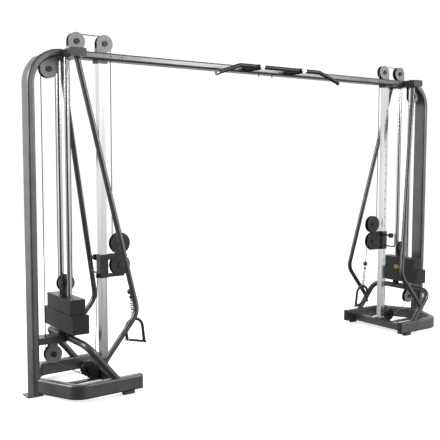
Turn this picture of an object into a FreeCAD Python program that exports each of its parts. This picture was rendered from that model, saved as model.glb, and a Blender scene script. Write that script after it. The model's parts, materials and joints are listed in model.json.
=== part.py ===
import FreeCAD, Part
import math
import os
import Sketcher
from FreeCAD import Vector

# Cable crossover machine: two weight-stack towers joined by a crossbeam.
# Frame: millimetres, +X along the beam, +Y to the rear, +Z up, origin on the floor at the middle.
# A tower is drawn once, as the one at +X, and the other is the same tower turned half round.

doc = FreeCAD.newDocument("cable_crossover")
sheet = doc.addObject("Spreadsheet::Sheet", "Sizes")


def number(value):
    return value.value if isinstance(value, Size) else float(value)


def formula(value):
    return value.formula if isinstance(value, Size) else "(%r)" % float(value)


class Size:
    """A cell of the sheet, or a sum of cells: its number now and the formula that gives it."""

    def __init__(self, value, text):
        self.value = value
        self.formula = text

    def __add__(self, other):
        return Size(self.value + number(other), "(%s + %s)" % (self.formula, formula(other)))

    def __radd__(self, other):
        return Size(number(other) + self.value, "(%s + %s)" % (formula(other), self.formula))

    def __sub__(self, other):
        return Size(self.value - number(other), "(%s - %s)" % (self.formula, formula(other)))

    def __rsub__(self, other):
        return Size(number(other) - self.value, "(%s - %s)" % (formula(other), self.formula))

    def __mul__(self, other):
        return Size(self.value * number(other), "(%s * %s)" % (self.formula, formula(other)))

    __rmul__ = __mul__

    def __truediv__(self, other):
        return Size(self.value / number(other), "(%s / %s)" % (self.formula, formula(other)))

    def __neg__(self):
        return Size(-self.value, "(0 - %s)" % self.formula)


class Cells:
    """The sheet's driving sizes, as attributes."""

    rows = 0

    def add(self, title, **sizes):
        self.rows += 1
        sheet.set("A%d" % self.rows, title)
        for name, value in sizes.items():
            self.rows += 1
            sheet.set("A%d" % self.rows, name)
            sheet.set("B%d" % self.rows, str(value))
            sheet.setAlias("B%d" % self.rows, name)
            setattr(self, name, Size(float(value), "Sizes." + name))


c = Cells()
c.add("Frame", half_span=1975, beam_top=2298, tube_thick=50, tube_wide=116, tube_corner=14,
      tube_wall=3, bend_radius=210, fit_gap=0.3)
c.add("Upright foot", plate_thick=8, plate_wide=104, plate_outside=35, plate_inside=70,
      anchor_bore=12, anchor_spread=60)
c.add("Junction block", block_inner=1617, block_across=117, block_long=360, block_high=58,
      cable_hole=22, beam_bolt_near=25, beam_bolt_far=111, beam_bolt_bore=10)
c.add("Base frame", foot_high=22, arm_high=101, arm_end=1320, base_half_width=357,
      base_corner_in=190, base_bend=110, cap_thick=3, foot_long=92, foot_wide=42,
      foot_place=1415)
c.add("Lower braces", cross_high=61, arch_radius=24, arch_high=367, arch_lean=203,
      arch_bend=85, support_high=45, support_wide=100, bar_wide=40, bar_high=12)
c.add("Guard tubes", guard_radius=19, guard_wall=2.5, guard_top_in=47, guard_top_wide=130,
      guard_bend_x=1335, guard_bend_wide=322, guard_bend_high=545, guard_bend=130,
      guard_foot_high=232)
c.add("Column", column_x=1434, column_side=50, column_wall=2.5, flange_side=76, flange_thick=20,
      hole_count=22, hole_first=313, hole_pitch=81, hole_bore=12)
c.add("Cable and sheaves", cable_radius=3, sheave_pitch=50, sheave_lip=4, sheave_wide=26,
      axle_radius=6, axle_gap=0.05, cheek_radius=60, cheek_thick=4, cheek_gap=30,
      head_radius=19, head_thick=8, top_inner_x=1405, top_rise=64, stack_x=1712,
      bend_drop=133, low_outer_high=262, low_inner_x=1551, low_inner_high=115)
c.add("Carriage", pin_hole=7, sleeve_wall=6, sleeve_high=164, sleeve_below_pin=132,
      pair_pitch_radius=56, pair_spacing=155, pair_rise=103, pair_wide=18, disc_radius=75,
      strap_thick=4.5, disc_thick=4, pull_out=140, pull_high=119, pull_radius=6,
      pin_radius=5, knob_radius=22, knob_long=26, pin_throw=12, anchor_x=1473)
c.add("Weights", rod_radius=17, rod_half=64, plate_gap=0.1, stack_low=425,
      low_plate=25, low_plates=5, low_long=478, low_across=119,
      high_plate=25, high_plates=4, high_long=386, high_across=109, seam=1.5,
      stem_radius=10, bumper_radius=29, fork_rise=112, tag_long=56, tag_high=34)
c.add("Handle", hang_lean=7, hang_drop=191, ball_big=21, ball_small=12, link_radius=11,
      link_wire=2.5, ring_radius=18, ring_wire=3, links=7, hoop_half=68, hoop_radius=11,
      hoop_leg=94, bar_lean=20, grip_radius=9, grip_gap=0.5, core_radius=5)
c.add("Pull-up bar", pull_bar_radius=16, pull_arm_radius=19, pull_arm_x=210, pull_arm_end=250,
      pull_bar_y=225, pull_bar_high=2273, wing_start=400, wing_end=604, wing_drop=68,
      wing_bend=60, hook_x=68, hook_y=31)
doc.recompute()


# ---------------------------------------------------------------- helpers

def bind(obj, prop, value):
    if isinstance(value, Size):
        obj.setExpression(prop, value.formula)
    else:
        obj.setExpression(prop, formula(value))


def place(obj, at, rotation=None):
    obj.Placement = FreeCAD.Placement(Vector(*[number(v) for v in at]),
                                      rotation or FreeCAD.Rotation())
    for axis, value in zip("xyz", at):
        bind(obj, "Placement.Base." + axis, value)
    return obj


ALONG = {"z": FreeCAD.Rotation(),
         "x": FreeCAD.Rotation(Vector(0, 1, 0), 90),
         "y": FreeCAD.Rotation(Vector(1, 0, 0), -90)}


def box(name, low, high):
    obj = doc.addObject("Part::Box", name)
    for prop, a, b in zip(("Length", "Width", "Height"), low, high):
        bind(obj, prop, b - a)
    return place(obj, low)


def cylinder(name, radius, start, length, axis="z"):
    obj = doc.addObject("Part::Cylinder", name)
    bind(obj, "Radius", radius)
    bind(obj, "Height", length)
    return place(obj, start, ALONG[axis])


def rod_across(name, radius, x, z, half):
    """A cylinder along Y, from -half to +half."""
    return cylinder(name, radius, (x, -half, z), half * 2, "y")


def ball(name, radius, at):
    obj = doc.addObject("Part::Sphere", name)
    bind(obj, "Radius", radius)
    return place(obj, at, ALONG["y"])


def ring(name, radius, wire, at, axis):
    obj = doc.addObject("Part::Torus", name)
    bind(obj, "Radius1", radius)
    bind(obj, "Radius2", wire)
    return place(obj, at, ALONG[axis])


def group(name, objs):
    obj = doc.addObject("Part::Compound", name)
    obj.Links = list(objs)
    return obj


def cut(name, base, *tools):
    obj = doc.addObject("Part::Cut", name)
    obj.Base = base
    obj.Tool = tools[0] if len(tools) == 1 else group(name + "_tools", tools)
    return obj


def fuse(name, *objs):
    obj = doc.addObject("Part::MultiFuse", name)
    obj.Shapes = list(objs)
    return obj


def body_sketch(body, role, name):
    sketch = body.newObject("Sketcher::SketchObject", name)
    plane = [f for f in body.Origin.OriginFeatures if f.Role == role][0]
    sketch.AttachmentSupport = (plane, [""])
    sketch.MapMode = "FlatFace"
    return sketch


def pin_point(sketch, geometry, end, x, y):
    for kind, value in (("DistanceX", x), ("DistanceY", y)):
        index = sketch.addConstraint(
            Sketcher.Constraint(kind, -1, 1, geometry, end, number(value)))
        bind(sketch, "Constraints[%d]" % index, value)


def polygon(sketch, points):
    """Straight-sided outline whose corners are bound to the sheet."""
    flat = [Vector(number(x), number(y), 0) for x, y in points]
    first = sketch.GeometryCount
    count = len(flat)
    for i in range(count):
        sketch.addGeometry(Part.LineSegment(flat[i], flat[(i + 1) % count]))
    for i in range(count):
        sketch.addConstraint(Sketcher.Constraint("Coincident", first + i, 2,
                                                 first + (i + 1) % count, 1))
    for i, (x, y) in enumerate(points):
        pin_point(sketch, first + i, 1, x, y)


def rounded(sketch, points, radius, closed):
    """Route or outline through corner points, each corner rounded with the same radius."""
    flat = [Vector(number(x), number(y), 0) for x, y in points]
    count = len(flat)
    corners = range(count) if closed else range(1, count - 1)
    starts, ends = {}, {}
    for i in corners:
        to_back = (flat[i - 1] - flat[i]).normalize()
        to_next = (flat[(i + 1) % count] - flat[i]).normalize()
        half = to_back.getAngle(to_next) / 2
        reach = number(radius) / math.tan(half)
        starts[i] = flat[i] + to_back * reach
        ends[i] = flat[i] + to_next * reach
    lines, arcs = {}, {}
    for i in range(count if closed else count - 1):
        j = (i + 1) % count
        lines[i] = sketch.addGeometry(Part.LineSegment(ends.get(i, flat[i]), starts.get(j, flat[j])))
    for i in corners:
        middle = (starts[i] + ends[i]) / 2
        inward = (middle - flat[i]).normalize()
        centre = flat[i] + inward * math.hypot(number(radius), (starts[i] - flat[i]).Length)
        turns = [math.atan2(p.y - centre.y, p.x - centre.x) for p in (starts[i], ends[i])]
        begins = 1 if (turns[1] - turns[0]) % (2 * math.pi) < math.pi else 2
        if begins == 2:
            turns.reverse()
        if turns[1] < turns[0]:
            turns[1] += 2 * math.pi
        whole = Part.Circle(centre, Vector(0, 0, 1), number(radius))
        arcs[i] = sketch.addGeometry(Part.ArcOfCircle(whole, *turns))
        before = lines[(i - 1) % count]
        sketch.addConstraint(Sketcher.Constraint("Tangent", before, 2, arcs[i], begins))
        sketch.addConstraint(Sketcher.Constraint("Tangent", lines[i], 1, arcs[i], 3 - begins))
        index = sketch.addConstraint(Sketcher.Constraint("Radius", arcs[i], number(radius)))
        bind(sketch, "Constraints[%d]" % index, radius)
        corner = sketch.addGeometry(Part.Point(flat[i]), True)
        sketch.addConstraint(Sketcher.Constraint("PointOnObject", corner, 1, before))
        sketch.addConstraint(Sketcher.Constraint("PointOnObject", corner, 1, lines[i]))
        pin_point(sketch, corner, 1, *points[i])
    if not closed:
        pin_point(sketch, lines[0], 1, *points[0])
        pin_point(sketch, lines[count - 2], 2, *points[-1])


def rectangle(sketch, half_x, half_y, radius):
    rounded(sketch, [(-half_x, -half_y), (half_x, -half_y), (half_x, half_y), (-half_x, half_y)],
            radius, True)


def circle(sketch, radius):
    index = sketch.addGeometry(Part.Circle(Vector(), Vector(0, 0, 1), number(radius)))
    sketch.addConstraint(Sketcher.Constraint("Coincident", index, 3, -1, 1))
    size = sketch.addConstraint(Sketcher.Constraint("Radius", index, number(radius)))
    bind(sketch, "Constraints[%d]" % size, radius)


def bent_tube(name, route, bend, at, rotation, rect=None, round_radius=None, wall=None):
    """Tube that starts at its body's origin along +Z and bends in the body's XZ plane."""
    body = doc.addObject("PartDesign::Body", name)
    spine = body_sketch(body, "XZ_Plane", name + "_route")
    rounded(spine, route, bend, False)
    section = body_sketch(body, "XY_Plane", name + "_section")
    if rect:
        rectangle(section, rect[0] / 2, rect[1] / 2, c.tube_corner)
        if wall is not None:
            rectangle(section, rect[0] / 2 - wall, rect[1] / 2 - wall, c.tube_corner - wall)
    else:
        circle(section, round_radius)
        if wall is not None:
            circle(section, round_radius - wall)
    pipe = body.newObject("PartDesign::AdditivePipe", name + "_pipe")
    pipe.Profile = section
    pipe.Spine = spine
    return place(body, at, rotation)


def padded(name, role, points, length, at, radius=None, midplane=True):
    """Flat outline of corner points, thickened across its plane."""
    body = doc.addObject("PartDesign::Body", name)
    outline = body_sketch(body, role, name + "_outline")
    if radius is None:
        polygon(outline, points)
    else:
        rounded(outline, points, radius, True)
    pad = body.newObject("PartDesign::Pad", name + "_pad")
    pad.Profile = outline
    bind(pad, "Length", length)
    pad.Midplane = midplane
    return place(body, at)


def turned(name, profile, at, axis):
    """Solid of revolution about its own Z axis, from (radius, height) corners."""
    body = doc.addObject("PartDesign::Body", name)
    outline = body_sketch(body, "XZ_Plane", name + "_outline")
    polygon(outline, profile)
    turn = body.newObject("PartDesign::Revolution", name + "_turn")
    turn.Profile = outline
    turn.ReferenceAxis = (outline, ["V_Axis"])
    turn.Angle = 360
    return place(body, at, ALONG[axis])


def swept_round(name, points, radii, radius, wall=None):
    """Round bar or tube along straight runs joined by tangent arcs, in plain coordinates."""
    flat = [Vector(*p) for p in points]
    edges = []
    start = flat[0]
    for i in range(1, len(flat) - 1):
        to_back = (flat[i - 1] - flat[i]).normalize()
        to_next = (flat[i + 1] - flat[i]).normalize()
        half = to_back.getAngle(to_next) / 2
        reach = radii[i - 1] / math.tan(half)
        inward = (to_back + to_next).normalize()
        arc_start = flat[i] + to_back * reach
        arc_end = flat[i] + to_next * reach
        nearest = flat[i] + inward * (radii[i - 1] / math.sin(half) - radii[i - 1])
        if (arc_start - start).Length > 1e-6:
            edges.append(Part.makeLine(start, arc_start))
        edges.append(Part.Arc(arc_start, nearest, arc_end).toShape())
        start = arc_end
    if (flat[-1] - start).Length > 1e-6:
        edges.append(Part.makeLine(start, flat[-1]))
    path = Part.Wire(edges)
    along = edges[0].tangentAt(edges[0].FirstParameter)

    def sweep(size):
        section = Part.Wire([Part.makeCircle(size, flat[0], along)])
        return path.makePipeShell([section], True, False)

    shape = sweep(radius)
    expected = math.pi * radius ** 2 * path.Length
    if abs(shape.Volume / expected - 1) > 0.01:
        raise ValueError("%s: its volume isn't its section times its length" % name)
    if wall:
        shape = shape.cut(sweep(radius - wall))
    obj = doc.addObject("Part::Feature", name)
    obj.Shape = shape
    return obj


# ---------------------------------------------------------------- nodes

HALF_TURN = FreeCAD.Rotation(Vector(0, 0, 1), 180)
nodes = []


def side_group(name, objs, side):
    obj = group(name, objs)
    if side == "left":
        obj.Placement = FreeCAD.Placement(Vector(), HALF_TURN)
    return obj


def node(name, objs):
    obj = group(name, objs)
    obj.Label = name
    nodes.append(obj)


def tower_nodes(name, *objs):
    """The same pieces as a node of each tower."""
    for side in ("left", "right"):
        node_name = "%s_%s" % (side, name)
        obj = side_group(node_name, objs, side)
        obj.Label = node_name
        nodes.append(obj)


def shared_node(name, *objs):
    """Both towers' copies of the pieces in one node."""
    node(name, [side_group("%s_of_%s" % (name, side), objs, side) for side in ("left", "right")])


# ---------------------------------------------------------------- upright and crossbeam

upright_x = c.half_span - c.tube_thick / 2
beam_under = c.beam_top - c.tube_thick
beam_mid = c.beam_top - c.tube_thick / 2
block_outer = c.block_inner + c.block_across
block_under = c.beam_top - c.block_high
arm_top = c.foot_high + c.arm_high
arm_mid_y = c.base_half_width - c.tube_thick / 2
cross_top = c.foot_high + c.cross_high
top_sheave_high = c.beam_top + c.top_rise
top_outer_x = c.stack_x - 2 * c.sheave_pitch
bend_sheave_x = c.stack_x + 2 * c.sheave_pitch
bend_sheave_high = c.beam_top - c.bend_drop
cable_in_x = c.top_inner_x - c.sheave_pitch
cable_down_x = c.stack_x - c.sheave_pitch
cable_up_x = c.stack_x + c.sheave_pitch
cable_out_x = bend_sheave_x + c.sheave_pitch

upright = bent_tube("upright_tube",
                    [(0, 0), (0, beam_mid - c.plate_thick),
                     (block_outer - upright_x, beam_mid - c.plate_thick)],
                    c.bend_radius, (upright_x, 0, c.plate_thick), FreeCAD.Rotation(),
                    rect=(c.tube_thick, c.tube_wide), wall=c.tube_wall)
plate_low = (c.half_span - c.plate_inside, -c.plate_wide / 2, 0)
plate_high = (c.half_span + c.plate_outside, c.plate_wide / 2, c.plate_thick)
anchor_x = c.half_span + c.plate_outside / 2
anchors = [cylinder("anchor_hole_%d" % i, c.anchor_bore / 2,
                    (anchor_x, c.anchor_spread / 2 * turn, -1), c.plate_thick + 2)
           for i, turn in enumerate((-1, 1))]
foot_plate = cut("foot_plate", box("foot_plate_blank", plate_low, plate_high), *anchors)
tower_nodes("upright", upright, foot_plate)

beam_outer = padded("beam_outer", "YZ_Plane",
                    [(-c.tube_wide / 2, -c.tube_thick / 2), (c.tube_wide / 2, -c.tube_thick / 2),
                     (c.tube_wide / 2, c.tube_thick / 2), (-c.tube_wide / 2, c.tube_thick / 2)],
                    c.block_inner * 2, (0, 0, beam_mid), c.tube_corner)
half_y, half_z = c.tube_wide / 2 - c.tube_wall, c.tube_thick / 2 - c.tube_wall
beam_void = padded("beam_void", "YZ_Plane",
                   [(-half_y, -half_z), (half_y, -half_z), (half_y, half_z), (-half_y, half_z)],
                   c.block_inner * 2 + 2, (0, 0, beam_mid), c.tube_corner - c.tube_wall)
beam_holes = []
for side in (-1, 1):
    beam_holes.append(cylinder("beam_cable_hole", c.cable_hole / 2,
                               (cable_in_x * side, 0, beam_under - 1), c.tube_thick + 2))
    for inward in (c.beam_bolt_near, c.beam_bolt_far):
        beam_holes.append(cylinder("beam_bolt_hole", c.beam_bolt_bore / 2,
                                   ((c.top_inner_x - inward) * side, -c.tube_wide / 2 - 1, beam_mid),
                                   c.tube_wall + 2, "y"))
crossbeam = cut("crossbeam_tube", beam_outer, beam_void, *beam_holes)
node("crossbeam", [crossbeam])

flange_half = c.flange_side / 2
flanges = [box("flange", (c.column_x - flange_half, -flange_half, low),
               (c.column_x + flange_half, flange_half, low + c.flange_thick))
           for low in (cross_top, beam_under - c.flange_thick)]
block_half = c.block_across / 2
block_x = c.block_inner + block_half
block_mid = c.beam_top - c.block_high / 2
block_skin = padded("block_skin", "XZ_Plane",
                    [(-block_half, -c.block_high / 2), (block_half, -c.block_high / 2),
                     (block_half, c.block_high / 2), (-block_half, c.block_high / 2)],
                    c.block_long, (block_x, 0, block_mid), c.tube_corner)
half_x, half_z = block_half - c.tube_wall, c.block_high / 2 - c.tube_wall
block_void = padded("block_void", "XZ_Plane",
                    [(-half_x, -half_z), (half_x, -half_z), (half_x, half_z), (-half_x, half_z)],
                    c.block_long - c.tube_wall * 2, (block_x, 0, block_mid),
                    c.tube_corner - c.tube_wall)
block_hole = cylinder("block_cable_hole", c.cable_hole / 2, (cable_down_x, 0, block_under - 1),
                      c.block_high + 2)
shared_node("junction_blocks", cut("junction_block", block_skin, block_void, block_hole),
            flanges[1])

# ---------------------------------------------------------------- base frame

base_corner_x = c.half_span - c.base_corner_in
base_halves = []
for turn, name in ((1, "front"), (-1, "rear")):
    lean = FreeCAD.Rotation(Vector(0, turn, 0), Vector(0, 0, turn), Vector(1, 0, 0), "ZXY")
    for wall, kind in ((None, "skin"), (c.tube_wall, "void")):
        inset = 0 if wall is None else c.tube_wall
        start = c.arm_end if wall is None else c.arm_end - 1
        base_halves.append(bent_tube(
            "base_%s_%s" % (name, kind),
            [(0, 0), (0, base_corner_x - start), (arm_mid_y, upright_x - start)],
            c.base_bend, (start, -arm_mid_y * turn, c.foot_high + c.arm_high / 2), lean,
            rect=(c.tube_thick - 2 * inset, c.arm_high - 2 * inset)))
upright_space = box("upright_space", (c.half_span - c.tube_thick, -c.tube_wide / 2, 0),
                    (c.half_span + c.tube_thick, c.tube_wide / 2, c.arm_high * 2))
base_skin = fuse("base_skin", base_halves[0], base_halves[2])
base_frame = cut("base_tube", base_skin, base_halves[1], base_halves[3], upright_space)
tower_nodes("base_frame", base_frame)

caps, feet = [], []
for turn in (-1, 1):
    caps.append(box("arm_cap", (c.arm_end - c.cap_thick, arm_mid_y * turn - c.tube_thick / 2,
                                c.foot_high),
                    (c.arm_end, arm_mid_y * turn + c.tube_thick / 2, arm_top)))
    straight = (c.foot_long - c.foot_wide) / 2
    middle = box("foot_middle", (c.foot_place - straight, arm_mid_y * turn - c.foot_wide / 2, 0),
                 (c.foot_place + straight, arm_mid_y * turn + c.foot_wide / 2, c.foot_high))
    ends = [cylinder("foot_end", c.foot_wide / 2,
                     (c.foot_place + straight * way, arm_mid_y * turn, 0), c.foot_high)
            for way in (-1, 1)]
    feet.append(fuse("foot_pad", middle, *ends))
shared_node("arm_end_caps", *caps)

# ---------------------------------------------------------------- lower braces

arch_leg = math.hypot(c.arch_lean.value, c.arch_high.value - arm_top.value)
arch_slope = Vector(c.arch_lean.value, 0, c.arch_high.value - arm_top.value).normalize()
arch_turn = FreeCAD.Rotation(Vector(0, 1, 0), arch_slope.cross(Vector(0, 1, 0)), arch_slope, "ZXY")
arch_foot_x = c.stack_x - c.arch_lean
SPARE = 60
arch_start = (arch_foot_x - SPARE * arch_slope.x, -arm_mid_y, arm_top - SPARE * arch_slope.z)
arch_route = [(0, 0), (0, arch_leg + SPARE), (2 * arm_mid_y, arch_leg + SPARE),
              (2 * arm_mid_y, 0)]
arch_skin = bent_tube("arch_skin", arch_route, c.arch_bend, arch_start, arch_turn,
                      round_radius=c.arch_radius, wall=c.tube_wall)
arch_solid = bent_tube("arch_solid", arch_route, c.arch_bend, arch_start, arch_turn,
                       round_radius=c.arch_radius)
below_arms = box("below_arms", (c.arm_end - 100, -c.base_half_width - 50, arm_top - 200),
                 (c.half_span, c.base_half_width + 50, arm_top))
arch = cut("arch_tube", arch_skin, below_arms)

cross_in = arm_mid_y - c.tube_thick / 2
column_half = c.column_side / 2
cross_low = (c.column_x - column_half, -cross_in, c.foot_high)
cross_high = (c.column_x + column_half, cross_in, cross_top)
cross_void = box("cross_void",
                 (c.column_x - column_half + c.tube_wall, -cross_in - 1, c.foot_high + c.tube_wall),
                 (c.column_x + column_half - c.tube_wall, cross_in + 1, cross_top - c.tube_wall))
cross_tube = cut("cross_tube", box("cross_skin", cross_low, cross_high), cross_void)

support_mid = c.arch_high
support_low = support_mid - c.support_high / 2
support_far = c.half_span - c.tube_thick
support_skin = box("support_skin", (c.stack_x, -c.support_wide / 2, support_low),
                   (support_far, c.support_wide / 2, support_low + c.support_high))
support_void = box("support_void",
                   (c.stack_x, -c.support_wide / 2 + c.tube_wall, support_low + c.tube_wall),
                   (support_far + 1, c.support_wide / 2 - c.tube_wall,
                    support_low + c.support_high - c.tube_wall))
support_hole = cylinder("support_cable_hole", c.cable_hole / 2, (cable_out_x, 0, support_low - 1),
                        c.support_high + 2)
support = cut("support_tube", support_skin, support_void, support_hole, arch_solid)

bar_low = c.foot_high + 4
centre_bar = cut("centre_bar",
                 box("centre_bar_blank", (c.column_x + column_half, -c.bar_wide / 2, bar_low),
                     (c.half_span - c.tube_thick, c.bar_wide / 2, bar_low + c.bar_high)),
                 base_skin)
shared_node("lower_braces", arch, cross_tube, support, centre_bar, flanges[0])

# ---------------------------------------------------------------- guard tubes

guards = []
for turn in (-1, 1):
    top = (block_outer.value - c.guard_top_in.value * 1.5, c.guard_top_wide.value * turn,
           block_under.value)
    bend = (c.guard_bend_x.value, c.guard_bend_wide.value * turn, c.guard_bend_high.value)
    foot_rise = c.guard_foot_high.value - arm_top.value
    foot = (arch_foot_x.value + foot_rise * arch_slope.x / arch_slope.z, arm_mid_y.value * turn,
            c.guard_foot_high.value)
    along = (Vector(*top) - Vector(*bend)).normalize()
    high = Vector(*top) + along * SPARE
    tube = swept_round("guard_blank", [tuple(high), bend, foot], [c.guard_bend.value],
                       c.guard_radius.value, c.guard_wall.value)
    above = box("above_block", (c.block_inner - 200, -c.block_long, block_under),
                (block_outer + 200, c.block_long, c.beam_top + 100))
    guards.append(cut("guard_tube", tube, above, arch_solid))
shared_node("guard_tubes", *guards)

# ---------------------------------------------------------------- column

column_low = cross_top + c.flange_thick
column_high = beam_under - c.flange_thick
column_skin = box("column_skin", (c.column_x - column_half, -column_half, column_low),
                  (c.column_x + column_half, column_half, column_high))
column_in = column_half - c.column_wall
column_void = box("column_void", (c.column_x - column_in, -column_in, column_low - 1),
                  (c.column_x + column_in, column_in, column_high + 1))
column_holes = [cylinder("column_hole", c.hole_bore / 2,
                         (c.column_x, -column_half - 1, c.hole_first + c.hole_pitch * i),
                         c.column_wall + 2, "y")
                for i in range(int(c.hole_count.value))]
column = cut("column_tube", column_skin, column_void, *column_holes)
shared_node("columns", column)

# ---------------------------------------------------------------- sheaves and their cheeks

cheek_in = c.cheek_gap / 2
cheek_out = cheek_in + c.cheek_thick


def sheave(name, pitch, wide, at):
    rim = pitch + c.sheave_lip
    floor = pitch - c.cable_radius - c.fit_gap
    groove = c.cable_radius + 1
    bore = c.axle_radius + c.axle_gap
    hub = c.axle_radius * 3
    web = wide / 2 - 4
    half = wide / 2
    return turned(name, [(bore, -half), (hub, -half), (hub, -web), (floor - 6, -web),
                         (floor - 6, -half), (rim, -half), (rim, -groove - 2), (floor, -groove),
                         (floor, groove), (rim, groove + 2), (rim, half), (floor - 6, half),
                         (floor - 6, web), (hub, web), (hub, half), (bore, half)], at, "y")


def axle(name, x, z, half):
    """Bolt across the cheeks, with a head and a nut outside them."""
    shank = rod_across(name + "_shank", c.axle_radius, x, z, half)
    head = cylinder(name + "_head", c.head_radius, (x, half, z), c.head_thick, "y")
    nut = cylinder(name + "_nut", c.head_radius, (x, -half - c.head_thick, z), c.head_thick, "y")
    return fuse(name, shank, head, nut)


def cheek_pair(name, x, z, foot_from, foot_to, end_z):
    """Two round cheeks with a foot from x + foot_from to x + foot_to, down or up to end_z."""
    low, high = (end_z, z) if number(end_z) < number(z) else (z, end_z)
    pair = []
    bore = rod_across(name + "_bore", c.axle_radius, x, z, cheek_out + 1)
    for turn in (-1, 1):
        near = cheek_in if turn > 0 else -cheek_out
        disc = cylinder(name + "_disc", c.cheek_radius, (x, near, z), c.cheek_thick, "y")
        foot = box(name + "_foot", (x + foot_from, near, low), (x + foot_to, near + c.cheek_thick,
                                                              high))
        pair.append(cut(name + "_cheek", fuse(name + "_plate", disc, foot), bore))
    return pair


sheave_places = {"top_inner": (c.top_inner_x, top_sheave_high),
                 "top_outer": (top_outer_x, top_sheave_high),
                 "bend": (bend_sheave_x, bend_sheave_high),
                 "low_outer": (bend_sheave_x, c.low_outer_high),
                 "low_inner": (c.low_inner_x, c.low_inner_high)}
for name, (x, z) in sheave_places.items():
    tower_nodes(name + "_sheave", sheave(name + "_wheel", c.sheave_pitch, c.sheave_wide, (x, 0, z)))

cheeks = []
for name in ("top_inner", "top_outer"):
    x, z = sheave_places[name]
    cheeks += cheek_pair(name, x, z, 0, c.cheek_radius, c.beam_top)
    cheeks.append(box(name + "_web", (x + c.cheek_radius - c.cheek_thick, -cheek_in, c.beam_top),
                      (x + c.cheek_radius, cheek_in, c.beam_top + c.top_rise / 2)))
bend_inside = fuse("bend_inside",
                   cylinder("bend_inner_face", c.bend_radius - c.tube_thick / 2,
                            (upright_x - c.bend_radius, -50, beam_mid - c.bend_radius), 100, "y"),
                   box("under_beam", (block_outer - 50, -50, bend_sheave_high - 200),
                       (upright_x - c.bend_radius, 50, beam_under)))
for plate in cheek_pair("bend", bend_sheave_x, bend_sheave_high, -c.cheek_radius,
                        c.cheek_radius / 2, c.beam_top):
    trimmed = doc.addObject("Part::Common", "bend_cheek_trimmed")
    trimmed.Base = plate
    trimmed.Tool = bend_inside
    cheeks.append(trimmed)
cheeks += cheek_pair("low_outer", bend_sheave_x, c.low_outer_high, -c.cheek_radius / 2,
                     c.cheek_radius / 2, support_low)
low_x, low_z = sheave_places["low_inner"]
low_bore = rod_across("low_inner_bore", c.axle_radius, low_x, low_z, cheek_out + 1)
for turn in (-1, 1):
    near = cheek_in if turn > 0 else -cheek_out
    arm = box("low_inner_arm", (c.column_x + column_half, near, c.foot_high + 20),
              (low_x, near + c.cheek_thick, low_z + 20))
    eye = cylinder("low_inner_eye", 20, (low_x, near, low_z), c.cheek_thick, "y")
    above = box("low_inner_above", (c.column_x, near - 1, cross_top),
                (c.column_x + flange_half + c.fit_gap, near + c.cheek_thick + 1, cross_top + 200))
    cheeks.append(cut("low_inner_cheek", fuse("low_inner_plate", arm, eye), low_bore, above))
shared_node("pulley_cheeks", *cheeks)
bolts = [axle(name + "_bolt", x, z, cheek_out) for name, (x, z) in sheave_places.items()]
foot_bolt_z = cross_top + c.flange_thick + c.axle_radius * 4
bolts.append(cylinder("column_foot_bolt", c.axle_radius * 1.6,
                      (c.column_x, -column_half - c.axle_radius, foot_bolt_z), c.axle_radius, "y"))
for turn in (-1, 1):
    for i in (-1, 1):
        bolts.append(cylinder("block_bolt", c.axle_radius * 1.5,
                              (block_x + block_half / 2 * i, c.block_long / 2 * 0.62 * turn,
                               c.beam_top), c.axle_radius))
shared_node("machine_bolts", *bolts)

# ---------------------------------------------------------------- weights

rods = [cut("guide_rod", cylinder("rod_blank", c.rod_radius,
                                  (c.stack_x, c.rod_half * turn, c.arch_high),
                                  block_under - c.arch_high), arch_solid)
        for turn in (-1, 1)]
shared_node("guide_rods", *rods)

low_top = c.stack_low + c.low_plate * c.low_plates
high_top = low_top + c.high_plate * c.high_plates
for turn in (-1, 1):
    bumper = cylinder("bumper_blank", c.bumper_radius,
                      (c.stack_x, c.rod_half * turn, c.arch_high), c.stack_low - c.arch_high)
    inside = cylinder("bumper_bore", c.rod_radius,
                      (c.stack_x, c.rod_half * turn, c.arch_high - 1),
                      c.stack_low - c.arch_high + 2)
    feet.append(cut("stack_bumper", bumper, inside, arch_solid, support_skin))
shared_node("rubber_feet_and_bumpers", *feet)

pin_z = low_top + c.high_plate / 2


def weight_plate(name, low, thick, long, across, stem_hole, pin_bore=False):
    """Plate with stepped top and bottom edges, two rod holes and a hole for the stem."""
    skin = fuse(name + "_skin",
                box(name + "_core", (c.stack_x - across / 2, -long / 2, low + c.seam),
                    (c.stack_x + across / 2, long / 2, low + thick - c.seam)),
                box(name + "_faces", (c.stack_x - across / 2 + c.seam, -long / 2 + c.seam, low),
                    (c.stack_x + across / 2 - c.seam, long / 2 - c.seam, low + thick)))
    tools = [cylinder(name + "_rod_hole", c.rod_radius + c.plate_gap,
                      (c.stack_x, c.rod_half * turn, low - 1), thick + 2) for turn in (-1, 1)]
    tools.append(cylinder(name + "_stem_hole", stem_hole, (c.stack_x, 0, low - 1), thick + 2))
    if pin_bore:
        tools.append(cylinder(name + "_pin_bore", c.pin_radius + c.axle_gap,
                              (c.stack_x - across / 2 - 1, 0, pin_z), across / 2 + 1, "x"))
    return cut(name, skin, *tools)


resting = [weight_plate("low_plate_%d" % i, c.stack_low + c.low_plate * i, c.low_plate, c.low_long,
                        c.low_across, c.stem_radius + c.plate_gap)
           for i in range(int(c.low_plates.value))]
shared_node("resting_weights", *resting)
lifted = [weight_plate("high_plate_%d" % i, low_top + c.high_plate * i, c.high_plate, c.high_long,
                       c.high_across, c.stem_radius, i == 0)
          for i in range(int(c.high_plates.value))]
stem_bore = cylinder("stem_pin_bore", c.pin_radius + c.axle_gap,
                     (c.stack_x - c.stem_radius - 1, 0, pin_z), c.stem_radius * 2 + 2, "x")
stem = cut("selector_stem", cylinder("stem_blank", c.stem_radius, (c.stack_x, 0, c.stack_low + 5),
                                     high_top - c.stack_low - 5), stem_bore)
tower_nodes("lifted_weights", stem, *lifted)

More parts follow.
